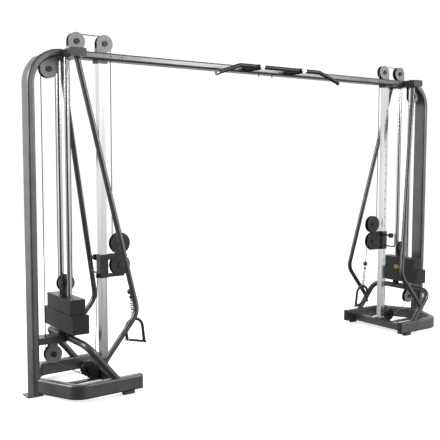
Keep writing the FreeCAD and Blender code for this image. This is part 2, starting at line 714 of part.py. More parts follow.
pin_face = c.stack_x - c.high_across / 2
selector_shank = cylinder("selector_shank", c.pin_radius, (pin_face - 12, 0, pin_z),
                          c.high_across / 2 + c.stem_radius + 10, "x")
selector_tag = padded("selector_tag", "YZ_Plane",
                      [(-c.tag_long / 2, -c.tag_high / 2), (c.tag_long / 2, -c.tag_high / 2),
                       (c.tag_long / 2, c.tag_high / 2), (-c.tag_long / 2, c.tag_high / 2)],
                      8, (pin_face - 12, 0, pin_z), 8)
tower_nodes("selector_pin", fuse("selector", selector_shank, selector_tag))

fork_z = high_top + c.fork_rise - 25
stack_sheave_high = fork_z
fork_parts = cheek_pair("fork", c.stack_x, fork_z, -35, 35, high_top)
fork_base = box("fork_base", (c.stack_x - 35, -cheek_in, high_top),
                (c.stack_x + 35, cheek_in, high_top + 10))
fork_bolt = axle("fork_bolt", c.stack_x, fork_z, cheek_out)
tower_nodes("stack_fork", fork_base, fork_bolt, *fork_parts)
tower_nodes("stack_sheave", sheave("stack_wheel", c.sheave_pitch, c.sheave_wide,
                                   (c.stack_x, 0, fork_z)))

# ---------------------------------------------------------------- carriage

pin_high = c.hole_first + c.hole_pitch * c.pin_hole
sleeve_low = pin_high - c.sleeve_below_pin
sleeve_top = sleeve_low + c.sleeve_high
sleeve_in = column_half + c.fit_gap
sleeve_out = sleeve_in + c.sleeve_wall
pair_x = cable_in_x - c.pair_pitch_radius
upper_z = pin_high + c.pair_rise
lower_z = upper_z - c.pair_spacing
sleeve_skin = box("sleeve_skin", (c.column_x - sleeve_out, -sleeve_out, sleeve_low),
                  (c.column_x + sleeve_out, sleeve_out, sleeve_top))
sleeve_void = box("sleeve_void", (c.column_x - sleeve_in, -sleeve_in, sleeve_low - 1),
                  (c.column_x + sleeve_in, sleeve_in, sleeve_top + 1))
sleeve_bore = cylinder("sleeve_pin_bore", c.pin_radius + c.axle_gap,
                       (c.column_x, -sleeve_out - 1, pin_high), c.sleeve_wall + 2, "y")
sleeve = cut("sleeve", sleeve_skin, sleeve_void, sleeve_bore)

strap_in = c.pair_wide / 2 + 0.5
strap_out = strap_in + c.strap_thick
disc_out = strap_out + c.disc_thick
pair_levels = {"upper": upper_z, "lower": lower_z}
carriage_parts = [sleeve]
disc_parts = []
for turn in (-1, 1):
    near = strap_in if turn > 0 else -strap_out
    far = near + c.strap_thick
    spine = box("strap_spine", (pair_x - 14, near, lower_z), (pair_x + 14, far, upper_z))
    upper_arm = box("strap_upper_arm", (pair_x, near, sleeve_top - 42),
                    (c.column_x - sleeve_out, far, sleeve_top))
    lower_arm = box("strap_lower_arm", (pair_x - 30, near, sleeve_low),
                    (c.column_x - sleeve_out, far, sleeve_low + 24))
    link = box("strap_link", (pair_x - 14, near, sleeve_low), (pair_x + 14, far, lower_z))
    eyes = [cylinder("strap_eye", 22, (pair_x, near, z), c.strap_thick, "y")
            for z in pair_levels.values()]
    bores = [rod_across("strap_bore", c.axle_radius, pair_x, z, disc_out + 1)
             for z in pair_levels.values()]
    carriage_parts.append(cut("carriage_strap", fuse("strap_plate", spine, upper_arm, lower_arm,
                                                     link, *eyes), *bores))
    disc_near = strap_out if turn > 0 else -disc_out
    for z in pair_levels.values():
        disc = cylinder("cover_disc_blank", c.disc_radius, (pair_x, disc_near, z), c.disc_thick, "y")
        disc_parts.append(cut("cover_disc", disc, rod_across("disc_bore", c.axle_radius, pair_x, z,
                                                             disc_out + 1)))
carriage_parts += [axle("carriage_bolt_" + name, pair_x, z, disc_out)
                   for name, z in pair_levels.items()]
lug = box("anchor_lug", (c.column_x + sleeve_out, -8, sleeve_low),
          (c.anchor_x + 9, 8, sleeve_low + 30))
carriage_parts.append(lug)
pull_x = c.column_x.value + 18
pull_low = sleeve_low.value + 30
carriage_parts.append(swept_round(
    "pull_grip", [(pull_x, -sleeve_out.value, pull_low), (pull_x, -c.pull_out.value, pull_low),
                  (pull_x, -c.pull_out.value, pull_low + c.pull_high.value)],
    [20], c.pull_radius.value))
tower_nodes("carriage", *carriage_parts)
tower_nodes("carriage_discs", *disc_parts)
for name, z in pair_levels.items():
    tower_nodes("carriage_%s_sheave" % name,
                sheave("carriage_wheel_" + name, c.pair_pitch_radius, c.pair_wide,
                       (pair_x, 0, z)))

# The pin stands drawn out at rest, its tip just clear of the column.
pin_tip = -column_half - c.fit_gap
knob_near = -c.pull_out + 20
pop_pin = fuse("pop_pin_solid",
               cylinder("pop_pin_shank", c.pin_radius, (c.column_x, -100, pin_high),
                        100 + pin_tip, "y"),
               cylinder("pop_pin_stem", c.pin_radius * 1.6, (c.column_x, -100, pin_high),
                        100 - sleeve_out - c.pin_throw - 1, "y"),
               cylinder("pop_pin_knob", c.knob_radius, (c.column_x, knob_near, pin_high),
                        c.knob_long, "y"))
tower_nodes("pop_pin", pop_pin)

# ---------------------------------------------------------------- handle

cable_r = c.cable_radius.value
pair_r = c.pair_pitch_radius.value
cross_angle = math.asin(pair_r / (c.pair_spacing.value / 2))
mid_point = Vector(pair_x.value, 0, (upper_z.value + lower_z.value) / 2)
lower_axis = Vector(pair_x.value, 0, lower_z.value)
lean = math.radians(c.hang_lean.value)
leave = Vector(-math.sin(lean), 0, -math.cos(lean))
hang_point = lower_axis + Vector(-math.cos(lean), 0, math.sin(lean)) * pair_r
corner_up = (cable_in_x.value, mid_point.z + pair_r / math.tan(cross_angle))
cross_line = Vector(-math.sin(cross_angle), 0, -math.cos(cross_angle))
gap = hang_point - mid_point
det = cross_line.x * leave.z - cross_line.z * leave.x
corner_down = mid_point + cross_line * ((gap.x * leave.z - gap.z * leave.x) / det)
hang_x = hang_point.x

# The handle is drawn straight below the point it hangs from, then leaned about that point.


def leaned(name, *objs):
    obj = group(name, objs)
    obj.Placement = FreeCAD.Placement(Vector(), FreeCAD.Rotation(Vector(0, 1, 0), c.hang_lean.value),
                                      hang_point)
    return obj


# The tail starts under the cable's round tip: its end is hollowed and clear as it swings.
TIP_GAP = 0.05
ball_z = hang_point.z - c.hang_drop - c.ball_big
small_z = ball_z - c.ball_big - c.ball_small - 8
tail_low = ball_z + c.ball_big - 1
tip_space = doc.addObject("Part::Feature", "tip_space")
tip_space.Shape = Part.makeSphere(cable_r + TIP_GAP, hang_point)
tail_cable = cylinder("tail_cable_blank", c.cable_radius, (hang_x, 0, tail_low),
                      c.hang_drop + 1 - c.cable_radius * 0.9)
big_ball = ball("big_ball", c.ball_big, (hang_x, 0, ball_z))
small_ball = ball("small_ball", c.ball_small, (hang_x, 0, small_z))
stub_low = small_z + c.ball_small - 1
stub = cut("tail_stub", cylinder("tail_stub_blank", c.cable_radius, (hang_x, 0, stub_low),
                                 ball_z - c.ball_big + 1 - stub_low), big_ball, small_ball)
link_step = 2 * c.link_radius - 2 * c.link_wire - c.fit_gap
link_count = int(c.links.value)
link_z = small_z - c.ball_small - c.link_radius + c.link_wire
eyelet = ring("ball_eyelet", c.link_radius, c.link_wire, (hang_x, 0, link_z),
              "yx"[link_count % 2])
hanging = cut("tail_cable", tail_cable, tip_space, big_ball)
tail_parts = [hanging, big_ball, small_ball, stub, cut("ball_eyelet_left", eyelet, small_ball)]
for i in range(link_count):
    link_z = link_z - link_step
    tail_parts.append(ring("chain_link", c.link_radius, c.link_wire, (hang_x, 0, link_z),
                           "xy"[(link_count - i) % 2]))
ring_z = link_z - c.link_radius + c.link_wire + c.ring_wire + c.fit_gap - c.ring_radius
loop_r = c.ring_radius.value
loop_low = ring_z.value - loop_r
loop_top = ring_z.value + loop_r
loop_halves = [swept_round("ring_half", [(hang_x, 0, loop_low), (hang_x, loop_r * turn, loop_low),
                                         (hang_x, loop_r * turn, loop_top),
                                         (hang_x, 0, loop_top)],
                           [loop_r / 4, loop_r - 0.001], c.ring_wire.value) for turn in (-1, 1)]
tail_parts.append(fuse("handle_ring", *loop_halves))
tower_nodes("handle_tail", leaned("leaned_tail", *tail_parts))

# Padded hoop through the ring, with a longer leg on the inner side, and a bar across its ends.
half = c.hoop_half.value
hoop_top = loop_low + c.ring_wire.value + c.fit_gap.value + c.hoop_radius.value
bar_mid = hoop_top - half - c.hoop_leg.value
bar_rise = half * math.tan(math.radians(c.bar_lean.value))
leg_over = c.hoop_radius.value * 0.8
hoop = swept_round("hoop_tube", [(hang_x - half, 0, bar_mid - bar_rise - leg_over),
                                 (hang_x - half, 0, hoop_top), (hang_x + half, 0, hoop_top),
                                 (hang_x + half, 0, bar_mid + bar_rise - leg_over)],
                   [half, half - 0.001], c.hoop_radius.value)
bar_half = half / math.cos(math.radians(c.bar_lean.value))
bar_turn = FreeCAD.Rotation(Vector(0, 1, 0), 90 - c.bar_lean.value)


def along_bar(name, radius, half_long):
    obj = doc.addObject("Part::Cylinder", name)
    bind(obj, "Radius", radius)
    bind(obj, "Height", half_long * 2)
    at = Vector(hang_x, 0, bar_mid) - bar_turn.multVec(Vector(0, 0, half_long))
    obj.Placement = FreeCAD.Placement(at, bar_turn)
    return obj


core = along_bar("grip_core", c.core_radius, bar_half)
tower_nodes("handle_strap", leaned("leaned_hoop", fuse("hoop_and_core", hoop, core)))
slant = math.radians(c.bar_lean.value)
grip_half = (bar_half - c.hoop_radius.value / math.cos(slant)
             - c.grip_radius.value * math.tan(slant) - c.grip_gap.value)
grip = cut("grip_sleeve", along_bar("grip_skin", c.grip_radius, grip_half),
           along_bar("grip_bore", c.core_radius + c.axle_gap, grip_half + 1))
tower_nodes("handle_grip", leaned("leaned_grip", grip))

# ---------------------------------------------------------------- cables

pitch = c.sheave_pitch.value
top_line = top_sheave_high.value + pitch
hold_z = bend_sheave_high.value


def in_plane(points):
    return [(x, 0, z) for x, z in points]


over_top = swept_round("cable_over_top", in_plane(
    [(cable_in_x.value, top_sheave_high.value), (cable_in_x.value, top_line),
     (cable_down_x.value, top_line), (cable_down_x.value, hold_z)]), [pitch, pitch], cable_r)

# Below, the cable runs along the lower common tangent of the two low sheaves.
low_a = Vector(bend_sheave_x.value, 0, c.low_outer_high.value)
low_b = Vector(c.low_inner_x.value, 0, c.low_inner_high.value)
run = (low_b - low_a).normalize()
under = Vector(-run.z, 0, run.x) * pitch
touch = low_a + under
slope = run.z / run.x
rise_x = c.low_inner_x.value - pitch
corner_a = (cable_out_x.value, touch.z + (cable_out_x.value - touch.x) * slope)
corner_b = (rise_x, touch.z + (rise_x - touch.x) * slope)
round_back = swept_round("cable_round_back", in_plane(
    [(cable_up_x.value, hold_z), (cable_up_x.value, hold_z + pitch),
     (cable_out_x.value, hold_z + pitch), corner_a, corner_b,
     (rise_x, c.low_inner_high.value)]), [pitch, pitch - 0.001, pitch, pitch], cable_r)
shared_node("fixed_cables", over_top, round_back)

stack_loop = swept_round("cable_stack_loop", in_plane(
    [(cable_down_x.value, hold_z), (cable_down_x.value, stack_sheave_high.value - pitch),
     (cable_up_x.value, stack_sheave_high.value - pitch), (cable_up_x.value, hold_z)]),
    [pitch, pitch - 0.001], cable_r)
tower_nodes("stack_strands", stack_loop)

strand_up = cylinder("cable_to_carriage", c.cable_radius, (cable_in_x, 0, upper_z),
                     top_sheave_high - upper_z)
tower_nodes("carriage_strand_up", strand_up)
strand_down = swept_round("cable_from_below", in_plane(
    [(rise_x, c.low_inner_high.value), (c.anchor_x.value, sleeve_low.value - c.fit_gap.value)]),
    [], cable_r)
tower_nodes("carriage_strand_down", strand_down)

# Between the carriage sheaves the cable crosses from the column side to the outer side.
# It ends where it leaves the lower sheave, in a round tip that the hanging tail turns on.
crossing = swept_round("cable_crossing", in_plane(
    [(cable_in_x.value, upper_z.value), corner_up, (corner_down.x, corner_down.z),
     (hang_point.x, hang_point.z)]), [pair_r - 0.001, pair_r], cable_r)
round_tip = doc.addObject("Part::Feature", "cable_tip")
round_tip.Shape = Part.makeSphere(cable_r, hang_point)
tower_nodes("carriage_cable", fuse("crossing_and_tip", crossing, round_tip))

# ---------------------------------------------------------------- pull-up bar

bar_z = c.pull_bar_high.value
wing_z = bar_z - c.wing_drop.value
pull_bar = swept_round("wing_bar", [(-c.wing_end.value, -c.pull_bar_y.value, wing_z),
                                    (-c.wing_start.value, -c.pull_bar_y.value, bar_z),
                                    (c.wing_start.value, -c.pull_bar_y.value, bar_z),
                                    (c.wing_end.value, -c.pull_bar_y.value, wing_z)],
                       [c.wing_bend.value] * 2, c.pull_bar_radius.value)
arms = [cylinder("pull_arm", c.pull_arm_radius, (c.pull_arm_x * turn, -c.pull_arm_end,
                                                 c.pull_bar_high),
                 c.pull_arm_end - c.tube_wide / 2, "y") for turn in (-1, 1)]
node("pull_up_bar", [fuse("pull_up_frame", pull_bar, *arms)])
end_caps = [cylinder("arm_end_cap", c.pull_arm_radius + 1,
                     (c.pull_arm_x * turn, -c.pull_arm_end - 10, c.pull_bar_high), 10, "y")
            for turn in (-1, 1)]
for turn in (-1, 1):
    wing = Vector((c.wing_end.value - c.wing_start.value) * turn, 0, -c.wing_drop.value).normalize()
    tip = Vector(c.wing_end.value * turn, -c.pull_bar_y.value, wing_z)
    cap = doc.addObject("Part::Feature", "wing_cap")
    cap.Shape = Part.makeCylinder(c.pull_bar_radius.value + 3, 14, tip, wing)
    end_caps.append(cap)
for turn in (-1, 1):
    end_caps.append(cylinder("under_beam_stud", 7, (c.hook_x * turn, -c.hook_y, beam_under - 20), 20))
node("pull_up_fittings", end_caps)

# ---------------------------------------------------------------- check and write

doc.recompute()
for obj in doc.Objects:
    if "Invalid" in obj.State or "Error" in obj.State:
        raise RuntimeError("%s failed: %s" % (obj.Name, obj.State))
os.makedirs("parts", exist_ok=True)
for obj in nodes:
    if obj.Shape.isNull() or not obj.Shape.isValid():
        raise RuntimeError("%s isn't a sound shape" % obj.Label)
for obj in nodes:
    obj.Shape.exportStep(os.path.join("parts", obj.Label + ".step"))
print("%d nodes, %d solids" % (len(nodes), sum(len(obj.Shape.Solids) for obj in nodes)))
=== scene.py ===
import json
import math
import bmesh
import bpy
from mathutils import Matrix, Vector


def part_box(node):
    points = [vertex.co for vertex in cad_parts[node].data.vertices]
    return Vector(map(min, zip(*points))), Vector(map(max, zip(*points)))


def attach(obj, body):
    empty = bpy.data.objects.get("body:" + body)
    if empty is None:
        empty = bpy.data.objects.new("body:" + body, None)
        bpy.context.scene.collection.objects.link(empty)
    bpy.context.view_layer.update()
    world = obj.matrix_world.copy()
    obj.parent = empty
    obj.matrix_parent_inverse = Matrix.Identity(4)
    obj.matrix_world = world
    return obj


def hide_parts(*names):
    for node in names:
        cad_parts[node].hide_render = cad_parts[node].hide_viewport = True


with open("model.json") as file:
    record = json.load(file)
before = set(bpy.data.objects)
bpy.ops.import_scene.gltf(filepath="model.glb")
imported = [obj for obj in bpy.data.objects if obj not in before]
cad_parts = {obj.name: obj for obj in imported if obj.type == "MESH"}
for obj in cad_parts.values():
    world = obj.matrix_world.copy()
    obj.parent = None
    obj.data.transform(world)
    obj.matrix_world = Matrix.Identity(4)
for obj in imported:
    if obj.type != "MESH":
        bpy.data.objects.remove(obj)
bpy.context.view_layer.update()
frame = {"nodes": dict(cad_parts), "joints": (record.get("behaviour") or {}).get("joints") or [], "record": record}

# All lengths are in metres, in the row frame.
nodes = frame["nodes"]
SIDES = ("left", "right")


# ---------------------------------------------------------------- node trees

def add_node(tree, kind, **values):
    """A new node with its properties and inputs set; "_" in an input's name is a space."""
    node = tree.nodes.new(kind)
    for key, value in values.items():
        if hasattr(node, key):
            setattr(node, key, value)
        else:
            node.inputs[key.replace("_", " ")].default_value = value
    return node


def maths(tree, operation, first, second=0.0, kind="ShaderNodeMath"):
    """The value of a maths node that takes two numbers, vectors or sockets."""
    node = add_node(tree, kind, operation=operation)
    for socket, value in zip(node.inputs, (first, second)):
        if isinstance(value, bpy.types.NodeSocket):
            tree.links.new(value, socket)
        else:
            socket.default_value = value
    return node.outputs["Value"]


def dot(tree, first, second):
    return maths(tree, "DOT_PRODUCT", first, second, kind="ShaderNodeVectorMath")


def remap(tree, source, low, high, out_low, out_high, kind="LINEAR"):
    """The source's range from low to high, turned into out_low to out_high and held there."""
    node = add_node(tree, "ShaderNodeMapRange", interpolation_type=kind, From_Min=low,
                    From_Max=high, To_Min=out_low, To_Max=out_high)
    tree.links.new(source, node.inputs["Value"])
    return node.outputs["Result"]


def recolour(tree, colour, mask, other):
    """The colour, turned into the other one as far as the mask says."""
    choice = add_node(tree, "ShaderNodeMix", data_type="RGBA")
    first, second = [socket for socket in choice.inputs if socket.type == "RGBA"]
    tree.links.new(mask, choice.inputs[0])
    tree.links.new(colour, first)
    second.default_value = (*other, 1)
    return [socket for socket in choice.outputs if socket.type == "RGBA"][0]


# ---------------------------------------------------------------- materials

DARKER = 0.86                 # a finish's dark patches, as a share of its colour
LIGHTER, LIFT = 1.12, 0.004   # its light patches: a share of its colour, and what is added
PATCH_EDGES = (0.32, 0.68)    # noise levels where the patches are fully dark and fully light
EDGE_TURN = (0.97, 0.82)      # cosines of the bend at an edge where wear starts and is full


def worn_edges(tree, reach, patches):
    """1 on edges that are sharp within the reach, broken up by the patches."""
    rounded = add_node(tree, "ShaderNodeBevel", samples=4, Radius=reach)
    plain = add_node(tree, "ShaderNodeNewGeometry")
    bend = dot(tree, rounded.outputs["Normal"], plain.outputs["Normal"])
    return maths(tree, "MULTIPLY", remap(tree, bend, *EDGE_TURN, 0.0, 1.0), patches)


def in_square_tubes(tree, place, axis_x, half):
    """1 within half a side of the two upright axes that stand at x = -axis_x and axis_x."""
    from_axis = maths(tree, "SUBTRACT", maths(tree, "ABSOLUTE", place.outputs["X"]), axis_x)
    reach = maths(tree, "MAXIMUM", maths(tree, "ABSOLUTE", from_axis),
                  maths(tree, "ABSOLUTE", place.outputs["Y"]))
    return maths(tree, "LESS_THAN", reach, half)


def material(name, base, rough=0.4, metal=0.0, light=None, patch=9.0, grain=900.0, bump=0.25,
             depth=0.0003, spread=0.12, coat=0.0, streak=(1, 1, 1), sheen=0.0, wear=None,
             wave=None, below=None, inside=None):
    """A procedural finish: broad colour change, fine grain in the bump, and uneven roughness.

    wear is (reach, colour) along edges, wave is (axis, scale) of ridges, below is
    (height, colour) for what the same node holds lower down, and inside is (distance of a
    square tube's axis from the middle, half its hollow, colour) for the tube's inner walls,
    a near-black that is partly the dark bare metal inside and partly painted shade in the holes."""
    mat = bpy.data.materials.new(name)
    mat.use_nodes = True
    tree = mat.node_tree
    link = tree.links.new
    shader = tree.nodes["Principled BSDF"]

    where = add_node(tree, "ShaderNodeTexCoord").outputs["Object"]
    stretch = add_node(tree, "ShaderNodeMapping", Scale=streak)
    link(where, stretch.inputs["Vector"])
    broad = add_node(tree, "ShaderNodeTexNoise", Scale=patch, Detail=4.0, Roughness=0.6)
    fine = add_node(tree, "ShaderNodeTexNoise", Scale=grain, Detail=2.0, Roughness=0.5)
    for noise in (broad, fine):
        link(stretch.outputs["Vector"], noise.inputs["Vector"])

    ramp = add_node(tree, "ShaderNodeValToRGB")
    dark = [v * DARKER for v in base]
    bright = light or [min(1.0, v * LIGHTER + LIFT) for v in base]
    for stop, position, shade in zip(ramp.color_ramp.elements, PATCH_EDGES, (dark, bright)):
        stop.position = position
        stop.color = (*shade, 1)
    link(broad.outputs["Fac"], ramp.inputs["Fac"])
    colour = ramp.outputs["Color"]
    if wear:
        reach, bare = wear
        colour = recolour(tree, colour, worn_edges(tree, reach, broad.outputs["Fac"]), bare)
    place = add_node(tree, "ShaderNodeSeparateXYZ")
    link(where, place.inputs["Vector"])
    if below:
        height, lower = below
        colour = recolour(tree, colour, maths(tree, "LESS_THAN", place.outputs["Z"], height),
                          lower)
    # The tube's inner walls get a near-black colour: partly dark bare metal, partly painted shade in the holes.
    if inside:
        axis_x, half, wall_shade = inside
        colour = recolour(tree, colour, in_square_tubes(tree, place, axis_x, half), wall_shade)
    link(colour, shader.inputs["Base Color"])

    link(remap(tree, broad.outputs["Fac"], 0.0, 1.0, max(0.02, rough - spread),
               min(1.0, rough + spread)), shader.inputs["Roughness"])
    relief = fine.outputs["Fac"]
    if wave:
        axis, scale = wave
        ridges = add_node(tree, "ShaderNodeTexWave", bands_direction=axis, Scale=scale,
                          Distortion=0.2)
        link(where, ridges.inputs["Vector"])
        relief = maths(tree, "ADD", ridges.outputs["Fac"], relief)
    bumps = add_node(tree, "ShaderNodeBump", Strength=bump, Distance=depth)
    link(relief, bumps.inputs["Height"])
    link(bumps.outputs["Normal"], shader.inputs["Normal"])
    for key, value in (("Metallic", metal), ("Coat Weight", coat), ("Coat Roughness", 0.15),
                       ("Sheen Weight", sheen)):
        shader.inputs[key].default_value = value
    return mat


def powder_coat(name, base, rough, metal, wear, **more):
    """Sprayed paint, fine-grained and even, with lighter wear along its edges."""
    return material(name, base, rough=rough, metal=metal, grain=700, bump=0.2, spread=0.06,
                    wear=wear, **more)


def chrome_plate(name, **more):
    """Bright plating with faint streaks along Z."""
    return material(name, (0.62, 0.63, 0.64), rough=0.16, metal=1.0, patch=30, spread=0.05,
                    grain=260, bump=0.05, streak=(1, 1, 0.04), light=(0.74, 0.74, 0.75), **more)


LOW_PULLEYS = 0.185     # the pulley plates under this height are the near-black ones
RUBBER_TOP = 0.2        # the rubber under this height is the dusty feet and bumpers
COLUMN_WALL = 0.0015    # how deep the column's holes keep the outer finish
column_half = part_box("columns")[1].y
column_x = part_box("columns")[1].x - column_half

paint = powder_coat("grey_powder_coat", (0.160, 0.161, 0.163), 0.30, 0.65,
                    (0.0012, (0.24, 0.24, 0.24)))
cheek_paint = powder_coat("grey_pulley_plates", (0.225, 0.226, 0.228), 0.40, 0.45,
                          (0.001, (0.28, 0.28, 0.28)), below=(LOW_PULLEYS, (0.02, 0.02, 0.021)))
# The lower braces share the frame's grey coat; this darker copy of it is painted shade, low down near the floor
# between the arms.
brace_paint_with_painted_shade = powder_coat("brace_coat_with_painted_shade", (0.10, 0.101, 0.103), 0.30, 0.55,
                          (0.0012, (0.16, 0.16, 0.16)))
guard_paint = powder_coat("guard_powder_coat", (0.115, 0.116, 0.118), 0.28, 0.6,
                          (0.0012, (0.18, 0.18, 0.18)))
dark_paint = powder_coat("dark_powder_coat", (0.060, 0.061, 0.063), 0.30, 0.5,
                         (0.0012, (0.14, 0.14, 0.14)))
bar_paint = material("black_textured_coat", (0.024, 0.025, 0.027), rough=0.45, grain=500,
                     bump=0.6)
chrome = chrome_plate("chrome_plate")
# The columns' inner walls, seen through their holes, are painted near-black: partly the dark bare steel inside,
# partly painted shade in the holes.
column_chrome = chrome_plate(
    "chromed_column", inside=(column_x, column_half - COLUMN_WALL, (0.012, 0.012, 0.012)))
steel = material("zinc_plated_steel", (0.42, 0.42, 0.43), rough=0.3, metal=1.0, patch=120,
                 grain=900, bump=0.15, light=(0.58, 0.58, 0.59))
bolt_black = material("black_oxide_bolts", (0.030, 0.030, 0.031), rough=0.3, metal=0.6,
                      patch=90, grain=900, bump=0.2, wear=(0.001, (0.25, 0.25, 0.25)))
carriage_black = material("black_carriage_coat", (0.040, 0.040, 0.042), rough=0.35, metal=0.4,
                          patch=30, grain=700, bump=0.3, wear=(0.0008, (0.10, 0.10, 0.10)))
chain = material("dark_chain_steel", (0.10, 0.10, 0.105), rough=0.35, metal=0.9, patch=200,
                 grain=1500, bump=0.2, light=(0.18, 0.18, 0.185))
iron = material("black_cast_weights", (0.013, 0.013, 0.014), rough=0.45, patch=25, grain=420,
                bump=0.5, wear=(0.0008, (0.06, 0.06, 0.06)))
plastic = material("black_moulded_plastic", (0.013, 0.013, 0.015), rough=0.42, patch=40,
                   grain=1200, bump=0.25, spread=0.08)
nylon = material("black_nylon", (0.014, 0.014, 0.015), rough=0.35, patch=60, grain=800,
                 bump=0.15)
rubber = material("foot_and_bumper_rubber", (0.014, 0.014, 0.014), rough=0.7, patch=45,
                  grain=600, bump=0.6, below=(RUBBER_TOP, (0.080, 0.077, 0.045)))
cable = material("coated_steel_cable", (0.045, 0.045, 0.047), rough=0.28, patch=60, grain=200,
                 bump=0.1, coat=0.3)
yellow = material("yellow_knob", (0.50, 0.33, 0.045), rough=0.4, patch=80, grain=900, bump=0.1)
hose = material("black_hose_rubber", (0.014, 0.014, 0.015), rough=0.55, patch=120, grain=1500,
                bump=0.5, depth=0.0005, sheen=0.15, wave=("Z", 60.0))
foam = material("black_grip_rubber", (0.014, 0.014, 0.015), rough=0.6, patch=80, grain=1400,
                bump=0.7, depth=0.0005)

# The finish of each of the record's material slots, and of the nodes that differ from it.
FINISH = {"frame_paint": paint, "guard_paint": guard_paint, "bright_steel": steel,
          "chrome": chrome, "weight_black": iron, "black_plastic": plastic,
          "sheave_nylon": nylon, "foot_rubber": rubber, "cable_coat": cable,
          "knob_yellow": yellow, "webbing": hose, "grip_rubber": foam}
# The lower braces' darker coat is painted shade.
OWN = {"junction_blocks": dark_paint, "pull_up_bar": bar_paint, "lower_braces": brace_paint_with_painted_shade,
       "machine_bolts": bolt_black, "columns": column_chrome, "pulley_cheeks": cheek_paint}
for side in SIDES:
    OWN[side + "_carriage"] = carriage_black
    OWN[side + "_carriage_discs"] = plastic
    OWN[side + "_handle_tail"] = chain
SLOT = {p["node"]: p["material_slot"] for p in frame["record"]["subparts"]}
for name, obj in nodes.items():
    obj.data.materials.clear()
    obj.data.materials.append(OWN.get(name, FINISH[SLOT[name]]))


# ---------------------------------------------------------------- rounded edges

SHARP = math.radians(50)      # edges that turn more than this are rounded, or shaded sharp

# Widths of the small rounded edges where flat faces meet.
EDGES = {"crossbeam": 0.0012, "junction_blocks": 0.002, "arm_end_caps": 0.002,
         "columns": 0.0015, "pulley_cheeks": 0.0008, "machine_bolts": 0.0025,
         "lower_braces": 0.0015, "resting_weights": 0.0008, "rubber_feet_and_bumpers": 0.002}
TOWER_EDGES = {"lifted_weights": 0.0008, "carriage": 0.001, "carriage_discs": 0.0012,
               "selector_pin": 0.002, "stack_fork": 0.001, "pop_pin": 0.002}
for side in SIDES:
    for part, width in TOWER_EDGES.items():
        EDGES[side + "_" + part] = width
for name, width in EDGES.items():
    edge = nodes[name].modifiers.new("edges", "BEVEL")
    edge.width = width
    edge.segments = 2
    edge.limit_method = "ANGLE"
    edge.angle_limit = SHARP
    edge.use_clamp_overlap = True


# ---------------------------------------------------------------- turned and swept pieces

def circle(steps):
    """(cosine, sine) of each step round a circle."""
    return [(math.cos(2 * math.pi * i / steps), math.sin(2 * math.pi * i / steps))
            for i in range(steps)]


def skin(name, rings, mat, body):
    """A closed smooth piece over rings of points, which rides on a body."""
    mesh = bpy.data.meshes.new(name)
    bm = bmesh.new()
    rings = [[bm.verts.new(point) for point in ring] for ring in rings]
    steps = len(rings[0])
    for low, high in zip(rings, rings[1:]):
        for i in range(steps):
            j = (i + 1) % steps
            bm.faces.new((low[i], low[j], high[j], high[i]))
    bm.faces.new(list(reversed(rings[0])))
    bm.faces.new(rings[-1])
    bmesh.ops.recalc_face_normals(bm, faces=bm.faces)
    bm.to_mesh(mesh)
    bm.free()
    mesh.materials.append(mat)
    for face in mesh.polygons:
        face.use_smooth = True
    obj = bpy.data.objects.new(name, mesh)
    bpy.context.scene.collection.objects.link(obj)
    bpy.context.view_layer.update()
    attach(obj, body)
    return obj


def lathe(name, profile, centre, axis, mat, body, steps=48):
    """A turned piece: (distance along the axis, radius) pairs, turned about the axis."""
    spin = Vector((0, 0, 1)).rotation_difference(Vector(axis)).to_matrix()
    rings = [[spin @ Vector((radius * cos, radius * sin, along)) + Vector(centre)
              for cos, sin in circle(steps)] for along, radius in profile]
    obj = skin(name, rings, mat, body)
    obj.modifiers.new("edges", "EDGE_SPLIT").split_angle = SHARP
    return obj


def tube(name, path, across, radii, mat, body, steps=20):
    """A round tube along points in one plane, with its radius at each point."""
    rings = []
    for i, (point, radius) in enumerate(zip(path, radii)):
        run = (path[min(len(path) - 1, i + 1)] - path[max(0, i - 1)]).normalized()
        out = run.cross(across).normalized()
        rings.append([point + (across * cos + out * sin) * radius for cos, sin in circle(steps)])
    return skin(name, rings, mat, body)


# ---------------------------------------------------------------- handles

HOOP = 0.068          # half the distance between the hoop's legs, and its bend
HOSE = 0.011          # radius of the hose
LEG = 0.094           # from the bar's middle up to the middle of the bend
LEG_STEPS = 28
BEND_STEPS = 40
HOSE_END = 0.8        # how far the hose runs on below the bar's axis, in its own radii

# Shape of the hose's ends: radius at each of the first points, as a share of HOSE, then
# the swollen length, the pinch behind it, and the plain hose.
ROUND_END = (0.55, 0.85, 1.0)
SWOLLEN_POINTS, SWOLLEN, PINCH, PLAIN = 12, 1.06, 0.94, 0.985

# Outline of a washer and a bolt head, as (distance past the hose, radius).
HEAD = ((-0.001, 0.0052), (-0.001, 0.0092), (0.0008, 0.0092), (0.0012, 0.0066),
        (0.0052, 0.0064), (0.0062, 0.0050))

GRIP = 0.009          # radius of the grip
GRIP_GAP = 0.4        # from the hose to the grip's end, in the grip's radii
GRIP_ENDS = (0.62, 0.92)          # radii of the grip's end face and its chamfer, over GRIP
GROOVES = 20
GROOVE_FLOOR = 0.9    # radius at the bottom of a groove, over GRIP
GROOVE_HALF, FLOOR_HALF = 0.0012, 0.0004     # half a groove's width at its top and bottom
FIRST_GROOVE = 0.006  # from the grip's end

joints = {j["name"]: j for j in frame["joints"]}


def hose_radius(step, count):
    """Full along the hose, swollen over its ends, and rounded off at each end."""
    near = min(step, count - 1 - step)
    if near < len(ROUND_END):
        return HOSE * ROUND_END[near]
    if near < SWOLLEN_POINTS:
        return HOSE * SWOLLEN
    return HOSE * (PINCH if near == SWOLLEN_POINTS else PLAIN)


